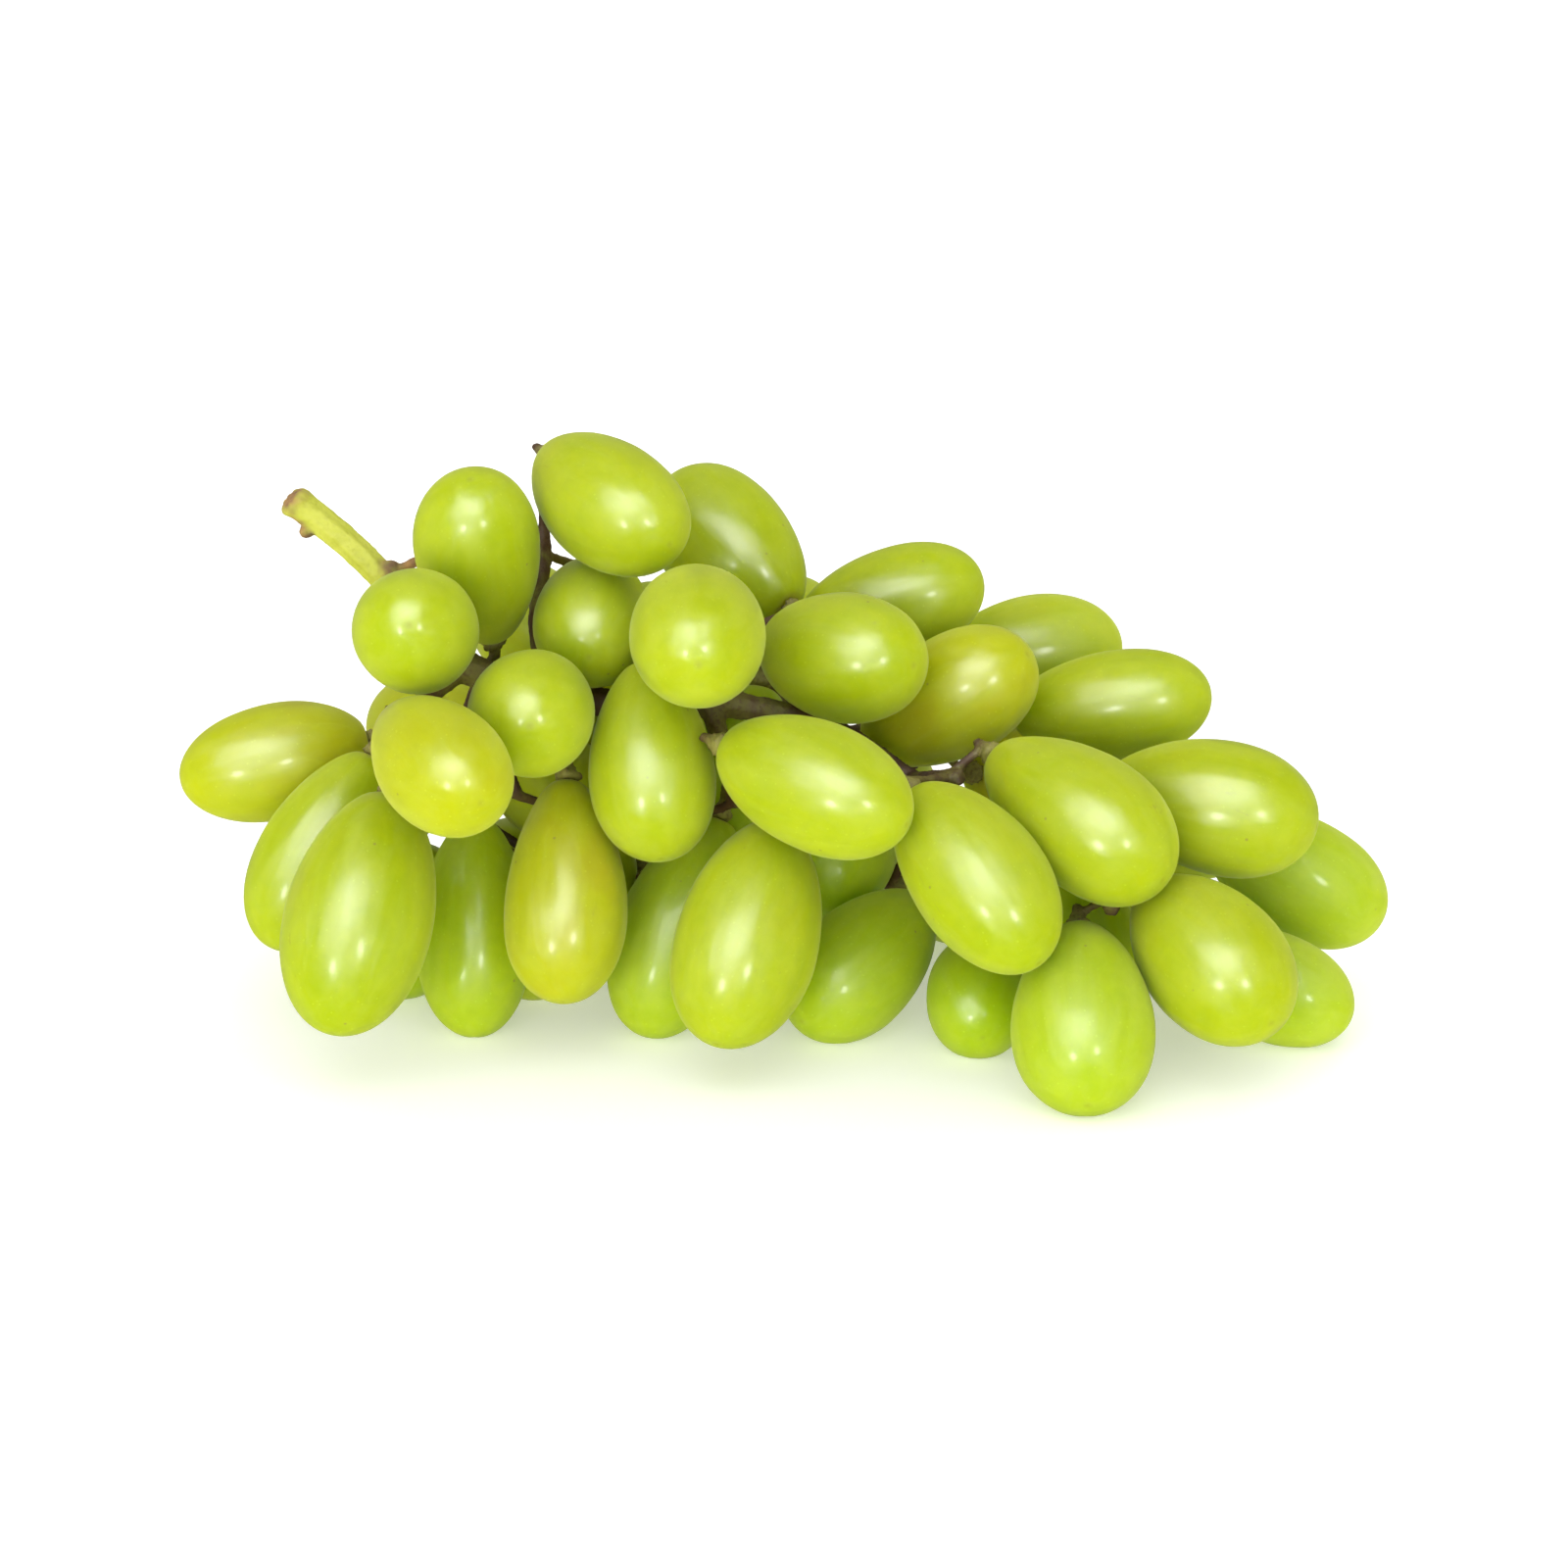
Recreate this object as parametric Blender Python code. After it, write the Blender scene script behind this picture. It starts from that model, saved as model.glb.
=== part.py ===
# A bunch of long green table grapes, lying on its side.
#
# Frame: +X runs from the cut stem to the tip of the bunch, +Y to its back, +Z up.
# The origin is under the middle of the bunch, on the surface it lies on.
# The layout is worked out in millimetres, and the meshes are made in metres.
#
# Each berry is placed by hand, then all of them settle against each other and
# against the surface. The stem is one grown piece: a main stem, its side
# branches, and a short stalk from the nearest branch to every berry.

import math

import bmesh
import bpy
import numpy as np
from mathutils import Matrix, Vector

mm = 0.001               # metres in a millimetre

# settling
airGap = 0.3             # between two neighbouring skins
restDepth = 0.25         # a resting berry is pressed this far into the surface
restReach = 2.5          # a berry lower than this comes down to the surface
settleSteps = 500
partingSteps = 200
homePull = 0.02          # how strongly a berry keeps to its place
turnEase = 0.5           # how readily a push turns a berry
partingEase = 0.6        # share of an overlap that one step takes away
stemEase = 0.5           # the same, between a berry and the stem
restEase = 0.3           # the same, down to the surface
stemProbe = 2.2          # spacing of the stem points that berries keep clear of
ballCount = 9            # balls that stand for a berry while it settles
skinSamples = 120        # points of the skin that size those balls
ballReach = 0.9          # the end balls sit this share of the tip's curve radius inside the tip
outerGive = (0.25, 1.0, 0.2)   # outer berries give way front to back, and little sideways or up
innerGive = (4.0, 4.0, 4.0)    # inner berries give way to them

# berries
berrySides = 10
berryRings = 7
eggSkew = 0.14           # how much fuller the far end is than the stalk end

# stem
mainRadius = 1.75        # middle of the main stem
branchRadius = 1.05
stalkRadius = 0.62
collarRadius = 1.25      # swollen end of a stalk, against its berry
collarLength = 1.3
stalkGap = 0.45          # from the collar to its berry
stalkPitch = 1.4         # spacing of the points along every stem line
curveSteps = 24          # steps between two points of a curve, before it is spaced evenly
mainFirmness = 0.1       # how firmly the main stem keeps its place
branchFirmness = 0.04
branchFlare = 1.25       # a branch is this much thicker where it leaves the main stem
neckLength = 2.6         # a stalk's straight end, along its berry's axis
rootReach = 1.5          # past the neck, where a stalk looks for its branch
lineEase = 0.45          # how much a step straightens a line
clearEase = 0.8          # share of an overlap with a berry that one step takes away
firstSize = 0.2          # berries start this size while the stem finds its way
swellPace = 1.1          # above 1 they are full size before the last step
collarSwell = 0.7        # below 1 a collar widens early
collarHold = 1.2         # share of a collar's length that stays put
stemSides = 8
growSteps = 260
voxelSize = 0.42         # the stem's lines are merged at this size
stemKeep = 0.06          # share of the merged faces that is kept

# share of the length, and radius there as a share of mainRadius
mainTaper = ((0, 1.2), (0.03, 1.1), (0.12, 1.05), (0.2, 1.25), (0.5, 0.95), (1, 0.6))

skinColour, skinRoughness = (0.45, 0.62, 0.06), 0.28
barkColour, barkRoughness = (0.36, 0.42, 0.08), 0.55

# x, y, z of the centre, heading and pitch of the far end in degrees,
# girth and length
outerBerries = (
    # left end, hanging from the first side branch
    (-65, 2, 30.9, -165, -8, 14.8, 24.5),
    (-58, -10, 23, -137, -51, 14.3, 27.5),
    (-51.5, -27, 20.8, -107, -50, 18.0, 31.0),
    (-41, -29, 41.5, -63, -7, 14.9, 26.0),
    # shoulder, round the foot of the cut stem
    (-45, -13, 52.9, -88, 18, 15.2, 25.5),
    (-36.3, 1, 57.4, -107, 63, 15.6, 26.0),
    # crown
    (-26.5, 5, 49.5, -86, -7, 14.9, 24.0),
    (-22, 3, 65, -53, -13, 15.7, 27.0),
    (-7, 22, 54, 131, 27, 16.9, 26.0),
    (-11, -15, 53, -87, 0, 16.5, 27.0),
    # front of the middle
    (-30.5, -15, 43, -90, 8, 15.4, 25.0),
    (-16.5, -13, 37, -78, -41, 15.5, 26.0),
    (3.5, -23, 37, -34, -10, 15.6, 26.5),
    (7, -3, 47, -44, 1, 16.2, 25.0),
    # upper right
    (14, 17, 48, -5, 16, 14.3, 24.5),
    (20.5, 1, 38.5, -22, 36, 15.6, 26.5),
    (32.5, 24, 39, 11, 2, 14.6, 25.0),
    (42, 7, 37, -13, 10, 14.1, 26.0),
    # right end
    (53, -9, 29.6, -23, -5, 16.7, 27.0),
    (36, -22, 30, -43, -23, 16.8, 29.0),
    (23, -29, 26.5, -46, -36, 16.1, 27.5),
    (65.5, -2, 17, -10, -28, 15.5, 25.0),
    (51.5, -29, 16, -58, -21, 17.0, 26.5),
    (60.6, -14, 8, -30, -12, 13.7, 23.5),
    (36, -34, 10, -90, -34, 17.3, 26.0),
    # front of the underside
    (24, -16, 7, -87, -12, 12.7, 20.0),
    (10, -10.5, 9, -129, -20, 15.4, 26.0),
    (-4.5, -26.5, 18, -111, -47, 17.4, 29.5),
    (-13, -9, 14, -125, -56, 15.3, 29.5),
    (-27, -19, 21, -90, -52, 15.1, 29.0),
    (-39, -9, 13, -90, -62, 14.4, 28.0),
)
innerBerries = (
    # heart of the bunch
    (12, 3, 23, -110, -35, 14.8, 25.0),
    (-7, 2, 26, -110, -55, 14.4, 25.0),
    (36, -8, 13, -60, -30, 14.5, 25.0),
    (-46, 3, 10, -150, -30, 14.2, 25.0),
    (-15, 13, 45, 115, 15, 14.6, 25.0),
    (-32.5, 13, 24.5, 115, 0, 14.4, 25.0),
    # back, upper row
    (-33, 26, 42, 110, 8, 15.2, 26.0),
    (-20, 34, 34, 95, -4, 15.8, 27.0),
    (0, 34, 38, 80, 4, 15.0, 26.0),
    (18, 32, 30, 60, 0, 15.4, 26.5),
    # back, middle row
    (-54, 12, 22, 160, -22, 14.6, 26.0),
    (-43, 24, 25.2, 125, -12, 15.5, 27.0),
    (-28, 34, 20, 105, -20, 15.0, 26.5),
    (-8, 38, 20, 85, -16, 15.6, 27.0),
    (10, 34, 16, 68, -20, 14.8, 26.0),
    (34, 24, 22, 45, -14, 15.2, 26.0),
    (50, 10, 20, 15, -16, 14.4, 25.5),
    # back, on the surface
    (-52, 20, 8, 145, -14, 14.4, 25.0),
    (-34, 20, 9, 110, -22, 15.0, 26.0),
    (-18, 24, 9, 95, -18, 14.8, 26.0),
    (2, 20, 9, 75, -20, 15.2, 26.5),
    (22, 18, 9, 50, -18, 14.6, 25.5),
    (42, 10, 8, 20, -12, 14.8, 25.0),
    (-28, 4, 10, -140, -40, 14.2, 25.0),
    (-12, 8, 10, 60, -30, 14.4, 25.0),
)

mainStem = (
    (-62, 7, 64),
    (-57, 7, 60),
    (-52, 6, 55.5),
    (-47, 6, 49),
    (-41, 4, 43),
    (-30, 1, 40),
    (-18, 0, 39),
    (-7, -3, 40),
    (6, 0, 36),
    (18, -4, 29),
    (30, -8, 26),
    (42, -10, 21),
    (50, -14, 17),
)
branches = (
    ((-41, 4, 43), (-47, -2, 39), (-51, -8, 36)),
    ((-35, 2, 41), (-36, -4, 33), (-34, -6, 29)),
    ((-30, 1, 40), (-31, 9, 48), (-31, 14, 58)),
    ((-7, -3, 40), (-5, 3, 47), (1, 10, 48)),
    ((-9, -3, 40), (-7, -7, 33), (-6, -9, 29)),
    ((9, -1, 34), (12, 6, 28), (20, 13, 29), (27, 14, 33)),
    ((16, -4, 30), (19, -12, 33), (22, -14, 34)),
    ((20, -4, 28), (22, -5, 22), (22, -6, 18)),
    ((32, -8, 25), (38, -7, 27), (44, -4, 26)),
    ((38, -9, 23), (41, -18, 21), (40, -24, 20)),
    ((-38, 3, 42), (-41, 11, 34), (-42, 15, 26), (-41, 16, 19)),
    ((-22, 1, 39), (-22, 12, 34), (-22, 20, 28), (-24, 22, 20)),
    ((2, -2, 38), (3, 10, 33), (4, 19, 27), (4, 22, 19)),
    ((24, -6, 27), (30, 6, 22), (34, 10, 18)),
)


# ---------------------------------------------------------------- berries


def skinShape(t):
    # share of the half girth, from the stalk end at -1 to the far end at 1
    return np.sqrt(np.maximum(1 - t ** 2, 0)) * (1 + eggSkew * t) / (1 + eggSkew ** 2 / 2)


def pointing(heading, pitch):
    turn, lift = math.radians(heading), math.radians(pitch)
    flat = math.cos(lift)
    return flat * math.cos(turn), flat * math.sin(turn), math.sin(lift)


def lowestPoint(centre, axis, halfLength, halfGirth):
    rise = axis[:, 2] ** 2
    return centre[:, 2] - np.sqrt(halfLength ** 2 * rise + halfGirth ** 2 * (1 - rise))


class Berries:
    # centre, axis and half sizes of every berry, in millimetres
    def __init__(self, rows, give):
        table = np.array(rows, dtype=float)
        self.centre = table[:, :3].copy()
        self.axis = np.array([pointing(row[3], row[4]) for row in rows])
        self.halfGirth = table[:, 5] / 2
        self.halfLength = table[:, 6] / 2
        self.give = give
        self.home = self.centre.copy()
        self.homeAxis = self.axis.copy()

    def balls(self):
        # balls inside each berry that touch its skin all along it, and one for its collar
        reach = self.halfLength - ballReach * self.halfGirth ** 2 / self.halfLength
        along = np.linspace(-1, 1, ballCount)[None, :] * reach[:, None]
        skin = np.cos(np.linspace(0, math.pi, skinSamples))
        skinAlong = skin * self.halfLength[:, None]
        skinRadius = skinShape(skin) * self.halfGirth[:, None]
        away = np.hypot(skinAlong[:, None, :] - along[:, :, None], skinRadius[:, None, :])
        collar = -(self.halfLength + stalkGap + collarLength)[:, None]
        return np.hstack([collar, along]), np.hstack([collar * 0 + collarRadius, away.min(axis=2)])

    def stalkEnd(self):
        return self.centre - self.axis * self.halfLength[:, None]


def turnBy(berries, moment):
    # a push away from the middle of a berry also turns it
    across = moment - berries.axis * np.sum(moment * berries.axis, axis=1, keepdims=True)
    berries.axis += turnEase * across / berries.halfLength[:, None] ** 2
    berries.axis /= np.linalg.norm(berries.axis, axis=1, keepdims=True)


def partNeighbours(berries, along, radius, first, second):
    places = berries.centre[:, None, :] + along[:, :, None] * berries.axis[:, None, :]
    apart = places[first][:, :, None, :] - places[second][:, None, :, :]
    distance = np.linalg.norm(apart, axis=3)
    overlap = radius[first][:, :, None] + radius[second][:, None, :] + airGap - distance
    count = len(first)
    worst = overlap.reshape(count, -1).argmax(axis=1)
    i, j = np.unravel_index(worst, overlap.shape[1:])
    rows = np.arange(count)
    depth = overlap[rows, i, j]
    hit = depth > 0
    if not hit.any():
        return
    a, b = first[hit], second[hit]
    line = apart[rows, i, j][hit] / distance[rows, i, j][hit][:, None]
    give = np.sum(line ** 2 * (berries.give[a] + berries.give[b]), axis=1)
    step = (partingEase * depth[hit] / give)[:, None] * line
    move = np.zeros_like(berries.centre)
    np.add.at(move, a, step * berries.give[a])
    np.add.at(move, b, -step * berries.give[b])
    berries.centre += move
    turn = np.zeros_like(berries.centre)
    np.add.at(turn, a, step * berries.give[a] * along[a, i[hit]][:, None])
    np.add.at(turn, b, -step * berries.give[b] * along[b, j[hit]][:, None])
    turnBy(berries, turn)


def layOnSurface(berries):
    low = lowestPoint(berries.centre, berries.axis, berries.halfLength, berries.halfGirth)
    below = low < -restDepth
    berries.centre[below, 2] += -restDepth - low[below]
    near = (low > -restDepth) & (low < restReach)
    berries.centre[near, 2] -= restEase * (low[near] + restDepth)


def keepOffStem(berries, along, radius, stemPoints, stemRadius):
    # berries also stay clear of the main stem and its branches
    places = berries.centre[:, None, :] + along[:, :, None] * berries.axis[:, None, :]
    apart = places[:, :, None, :] - stemPoints[None, None]
    distance = np.linalg.norm(apart, axis=3)
    overlap = radius[:, :, None] + stemRadius + airGap - distance
    worst = overlap.reshape(len(overlap), -1).argmax(axis=1)
    i, j = np.unravel_index(worst, overlap.shape[1:])
    rows = np.arange(len(overlap))
    depth = np.maximum(overlap[rows, i, j], 0)
    line = apart[rows, i, j] / distance[rows, i, j][:, None]
    push = stemEase * depth[:, None] * line * np.minimum(berries.give, 1)
    berries.centre += push
    turnBy(berries, push * along[rows, i][:, None])


def settledBerries():
    give = np.array([outerGive] * len(outerBerries) + [innerGive] * len(innerBerries))
    berries = Berries(outerBerries + innerBerries, give)
    along, radius = berries.balls()
    first, second = np.triu_indices(len(berries.centre), 1)
    routes = [mainStem] + list(branches)
    stemPoints = np.concatenate([smoothLine(asPoints(route), stemProbe) for route in routes])
    for step in range(settleSteps + partingSteps):
        pull = homePull if step < settleSteps else 0.0
        ease = pull / berries.give
        berries.centre += ease * (berries.home - berries.centre)
        berries.axis += pull * (berries.homeAxis - berries.axis)
        berries.axis /= np.linalg.norm(berries.axis, axis=1, keepdims=True)
        partNeighbours(berries, along, radius, first, second)
        if step < settleSteps:
            keepOffStem(berries, along, radius, stemPoints, mainRadius)
        layOnSurface(berries)
    return berries


# ------------------------------------------------------------------- stem


def asPoints(route):
    return [np.array(place, dtype=float) for place in route]


def smoothLine(points, pitch=stalkPitch):
    # an even run of points along a Catmull-Rom curve through the given ones
    ends = [2 * points[0] - points[1]] + list(points) + [2 * points[-1] - points[-2]]
    fine = []
    for p0, p1, p2, p3 in zip(ends, ends[1:], ends[2:], ends[3:]):
        for t in np.linspace(0, 1, curveSteps, endpoint=False):
            bend = 2 * p0 - 5 * p1 + 4 * p2 - p3
            twist = 3 * p1 - 3 * p2 + p3 - p0
            fine.append(0.5 * (2 * p1 + (p2 - p0) * t + bend * t ** 2 + twist * t ** 3))
    fine = np.array(fine + [points[-1]])
    run = np.concatenate([[0], np.cumsum(np.linalg.norm(np.diff(fine, axis=0), axis=1))])
    count = max(4, int(round(run[-1] / pitch)) + 1)
    marks = np.linspace(0, run[-1], count)
    return np.stack([np.interp(marks, run, fine[:, k]) for k in range(3)], axis=1)


def clearOf(berries, points, radius, size=1.0):
    # the step that takes each point clear of every berry
    away = points[:, None, :] - berries.centre[None]
    along = np.einsum("pbk,bk->pb", away, berries.axis)
    across = away - along[..., None] * berries.axis[None]
    room = radius[:, None] + airGap
    length = berries.halfLength[None] * size + room
    swell = (1 + eggSkew * np.clip(along / length, -1, 1)) / (1 + eggSkew ** 2 / 2)
    girth = berries.halfGirth[None] * size * swell + room
    level = np.sqrt((np.sum(across ** 2, axis=2) / girth ** 2) + (along / length) ** 2)
    slope = across / girth[..., None] ** 2 + berries.axis[None] * (along / length ** 2)[..., None]
    slope /= np.maximum(level, 1e-6)[..., None]
    steep = np.maximum(np.linalg.norm(slope, axis=2), 1e-6)
    depth = np.clip(1 - level, 0, None) / steep
    return np.sum(slope / steep[..., None] * depth[..., None], axis=1)


class StemLine:
    # one line of the stem: its points, its radius at each, and how firmly it keeps its place
    def __init__(self, points, radius, firmness, parent=None, mark=0, tail=0):
        self.points = points
        self.radius = radius
        self.firmness = firmness
        self.home = points.copy()
        self.parent = parent
        self.mark = mark
        self.tail = tail

    def relax(self, berries, size):
        p = self.points
        middle = 0.5 * (p[:-2] + p[2:])
        p[1:-1] += lineEase * (middle - p[1:-1])
        p += self.firmness * (self.home - p)
        p += clearEase * clearOf(berries, p, self.radius, size)
        low = p[:, 2] < self.radius + airGap
        p[low, 2] = (self.radius + airGap)[low]
        if self.parent is not None:
            p[0] = self.parent.points[self.mark]
        if self.tail:
            p[-self.tail:] = self.home[-self.tail:]


def nearestMark(lines, place):
    best = None
    for line in lines:
        gap = np.linalg.norm(line.points - place, axis=1)
        mark = int(gap.argmin())
        if best is None or gap[mark] < best[0]:
            best = (gap[mark], line, mark)
    return best[1], best[2]


def taper(count, start, end):
    return start + (end - start) * np.linspace(0, 1, count)


def mainLine():
    points = smoothLine(asPoints(mainStem))
    along = np.linspace(0, 1, len(points))
    radius = mainRadius * np.interp(along, *zip(*mainTaper))
    return StemLine(points, radius, mainFirmness)


def branchLine(trunk, route):
    points = smoothLine(asPoints(route))
    parent, mark = nearestMark([trunk], points[0])
    radius = taper(len(points), branchRadius * branchFlare, branchRadius)
    return StemLine(points, radius, branchFirmness, parent, mark)


def stalkLine(lines, end, axis):
    # leaves the berry straight along its axis, then bends to the nearest branch
    tip = end - axis * stalkGap
    neck = tip - axis * neckLength
    parent, mark = nearestMark(lines, neck - axis * rootReach)
    root = parent.points[mark]
    points = smoothLine([root, 0.5 * (root + neck), neck, tip])
    run = np.linalg.norm(points - tip, axis=1)
    swell = np.clip(1 - run / collarLength, 0, 1)
    radius = stalkRadius + (collarRadius - stalkRadius) * swell ** collarSwell
    tail = int(np.sum(run < collarLength * collarHold))
    return StemLine(points, radius, 0.0, parent, mark, tail)


def findTheirWay(lines, berries):
    # the berries swell to their full size while the lines move clear of them
    for step in range(growSteps):
        size = min(1.0, firstSize + swellPace * step / growSteps)
        for line in lines:
            line.relax(berries, size)


def grownStem(berries):
    trunk = mainLine()
    lines = [trunk] + [branchLine(trunk, route) for route in branches]
    findTheirWay(lines, berries)
    stalks = [stalkLine(lines, end, axis) for end, axis in zip(berries.stalkEnd(), berries.axis)]
    findTheirWay(stalks, berries)
    return lines + stalks


# --------------------------------------------------------------- building


def surfaceMaterial(name, colour, roughness):
    material = bpy.data.materials.new(name)
    material.use_nodes = True
    shader = material.node_tree.nodes["Principled BSDF"]
    shader.inputs["Base Color"].default_value = (*colour, 1)
    shader.inputs["Roughness"].default_value = roughness
    shader.inputs["Metallic"].default_value = 0.0
    return material


def finish(name, mesh, material, holder):
    mesh.materials.append(material)
    piece = bpy.data.objects.new(name, mesh)
    bpy.context.collection.objects.link(piece)
    piece.parent = holder
    return piece


def berryMesh(name, halfLength, halfGirth, turn, centre):
    # rings of points round the long axis, capped with a fan at both ends
    bm = bmesh.new()
    rings = []
    for ring in range(1, berryRings):
        angle = math.pi * ring / berryRings
        along = -halfLength * math.cos(angle)
        radius = halfGirth * float(skinShape(-math.cos(angle)))
        row = []
        for side in range(berrySides):
            spin = 2 * math.pi * side / berrySides
            row.append(bm.verts.new((radius * math.cos(spin), radius * math.sin(spin), along)))
        rings.append(row)
    stalkEnd = bm.verts.new((0, 0, -halfLength))
    farEnd = bm.verts.new((0, 0, halfLength))
    for side in range(berrySides):
        after = (side + 1) % berrySides
        bm.faces.new((stalkEnd, rings[0][after], rings[0][side]))
        bm.faces.new((farEnd, rings[-1][side], rings[-1][after]))
        for low, high in zip(rings, rings[1:]):
            bm.faces.new((low[side], low[after], high[after], high[side]))
    bmesh.ops.transform(bm, matrix=turn, verts=bm.verts)
    flattenUnderside(bm, centre)
    bmesh.ops.scale(bm, vec=(mm, mm, mm), verts=bm.verts)
    bmesh.ops.recalc_face_normals(bm, faces=bm.faces)
    mesh = bpy.data.meshes.new(name)
    bm.to_mesh(mesh)
    bm.free()
    mesh.shade_smooth()
    return mesh


def flattenUnderside(bm, centre):
    # a berry that lies on the surface gets a small flat where it rests
    low = centre.z + min(vert.co.z for vert in bm.verts)
    if low > restDepth:
        return
    centre.z -= low + restDepth
    cut = bmesh.ops.bisect_plane(
        bm,
        geom=bm.verts[:] + bm.edges[:] + bm.faces[:],
        plane_co=(0, 0, -centre.z),
        plane_no=(0, 0, 1),
        clear_inner=True,
    )
    rim = [item for item in cut["geom_cut"] if isinstance(item, bmesh.types.BMEdge)]
    bmesh.ops.contextual_create(bm, geom=rim)


def addBerries(berries, holder):
    count = len(berries.centre)
    for index in range(count):
        axis = Vector(berries.axis[index])
        turn = axis.to_track_quat("Z", "Y").to_matrix().to_4x4()
        centre = Vector(berries.centre[index])
        name = f"berry_{index + 1:02d}"
        halfLength, halfGirth = berries.halfLength[index], berries.halfGirth[index]
        mesh = berryMesh(name, halfLength, halfGirth, turn, centre)
        material = surfaceMaterial(f"{name}_skin", skinColour, skinRoughness)
        finish(name, mesh, material, holder).location = centre * mm


def addTube(bm, line):
    # a closed tube along one line of the stem
    points = [Vector(p) for p in line.points]
    rows = []
    for index, point in enumerate(points):
        before = points[max(index - 1, 0)]
        after = points[min(index + 1, len(points) - 1)]
        turn = (after - before).to_track_quat("Z", "Y").to_matrix()
        row = []
        for side in range(stemSides):
            spin = 2 * math.pi * side / stemSides
            ray = turn @ Vector((math.cos(spin), math.sin(spin), 0))
            row.append(bm.verts.new(point + ray * line.radius[index]))
        rows.append(row)
    for low, high in zip(rows, rows[1:]):
        for side in range(stemSides):
            after = (side + 1) % stemSides
            bm.faces.new((low[side], low[after], high[after], high[side]))
    bm.faces.new(rows[0][::-1])
    bm.faces.new(rows[-1])


def keepLargestBody(bm):
    # merging can leave a tiny sealed bubble where two lines meet
    waiting = set(bm.verts)
    bodies = []
    while waiting:
        body = set()
        edge = [waiting.pop()]
        while edge:
            vert = edge.pop()
            body.add(vert)
            for link in vert.link_edges:
                other = link.other_vert(vert)
                if other in waiting:
                    waiting.remove(other)
                    edge.append(other)
        bodies.append(body)
    bodies.sort(key=len)
    for body in bodies[:-1]:
        bmesh.ops.delete(bm, geom=list(body), context="VERTS")


def addStem(lines, holder):
    bm = bmesh.new()
    for line in lines:
        addTube(bm, line)
    bmesh.ops.scale(bm, vec=(mm, mm, mm), verts=bm.verts)
    tubes = bpy.data.meshes.new("stem_lines")
    bm.to_mesh(tubes)
    bm.free()
    rough = bpy.data.objects.new("stem_lines", tubes)
    bpy.context.collection.objects.link(rough)
    merge = rough.modifiers.new("merge", "REMESH")
    merge.mode = "VOXEL"
    merge.voxel_size = voxelSize * mm
    grown = bmesh.new()
    grown.from_object(rough, bpy.context.evaluated_depsgraph_get())
    keepLargestBody(grown)
    mesh = bpy.data.meshes.new("stem")
    grown.to_mesh(mesh)
    grown.free()
    bpy.data.objects.remove(rough)
    mesh.shade_smooth()
    stem = finish("stem", mesh, surfaceMaterial("stem_bark", barkColour, barkRoughness), holder)
    thin = stem.modifiers.new("thin", "DECIMATE")
    thin.ratio = stemKeep


def centreOnOrigin(holder):
    # the origin goes under the middle of the bunch
    bpy.context.view_layer.update()
    corners = []
    for piece in holder.children:
        corners += [piece.matrix_world @ vert.co for vert in piece.data.vertices]
    for axis in range(2):
        values = [corner[axis] for corner in corners]
        holder.location[axis] = -0.5 * (min(values) + max(values))


def main():
    for old in list(bpy.data.objects):
        bpy.data.objects.remove(old)
    holder = bpy.data.objects.new("bunch", None)
    bpy.context.collection.objects.link(holder)
    berries = settledBerries()
    addBerries(berries, holder)
    addStem(grownStem(berries), holder)
    centreOnOrigin(holder)


if __name__ == "__main__":
    main()
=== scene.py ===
import math
import random

import bmesh
import bpy
import numpy as np
from mathutils import Matrix, Vector, noise
from mathutils.kdtree import KDTree


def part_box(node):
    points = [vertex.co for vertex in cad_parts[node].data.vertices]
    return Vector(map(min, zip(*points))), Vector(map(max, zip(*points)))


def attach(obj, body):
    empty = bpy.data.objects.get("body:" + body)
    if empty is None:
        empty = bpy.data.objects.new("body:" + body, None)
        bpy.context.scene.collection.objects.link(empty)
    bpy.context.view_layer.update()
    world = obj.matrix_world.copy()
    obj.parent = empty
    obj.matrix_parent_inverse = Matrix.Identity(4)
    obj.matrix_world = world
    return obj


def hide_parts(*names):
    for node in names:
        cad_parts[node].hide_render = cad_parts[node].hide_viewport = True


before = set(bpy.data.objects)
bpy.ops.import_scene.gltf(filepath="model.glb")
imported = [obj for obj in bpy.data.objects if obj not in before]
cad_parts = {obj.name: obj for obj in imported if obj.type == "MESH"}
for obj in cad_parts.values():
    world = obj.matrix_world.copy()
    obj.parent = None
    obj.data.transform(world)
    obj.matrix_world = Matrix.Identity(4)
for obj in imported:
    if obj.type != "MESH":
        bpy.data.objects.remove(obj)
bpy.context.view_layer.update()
mm = 0.001

studio = {
    "target": (-0.0002, -0.0027, 0.0285),
    "distance": 0.5,
    "lift": 18,                 # degrees above the floor
    "lens": 90,
    "sensor": 36,
    "nearest": 0.01,            # the camera sees nothing closer than this
    "roundBelow": 0.2,          # a lamp narrower than this is round
    "skyLight": 0.86,           # what the white room gives the grapes
    "skyGloss": 0.14,           # and what they mirror of it
    "skySeen": 1.0,
    "floorSize": 8,
    "floorShade": 0.92,
    "floorRoughness": 0.85,
    "floorGloss": 0.1,
    "nearGlow": 0.33,           # the floor glows a little, as a lit table does
    # the near glow's greenish tint is painted light: it gives the shadows under the grapes the green of
    # light passed through them
    "shadowGlowTint": (0.97, 1.0, 0.90),
    "farGlow": 0.8,             # and more far away, which keeps it white
    "glowFrom": 0.10,           # distance where the far glow begins
    "glowTo": 0.9,              # and where it is full
    # turn from the camera, lift above the floor, distance, width, height, power
    "softBox": (-15, 60, 0.8, 0.72, 0.45, 0.9),
    "backGlow": (165, 50, 1.0, 0.8, 0.5, 1.5),
    "frontFill": (-14, 4, 1.0, 0.9, 0.4, 6.6),
}

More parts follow.
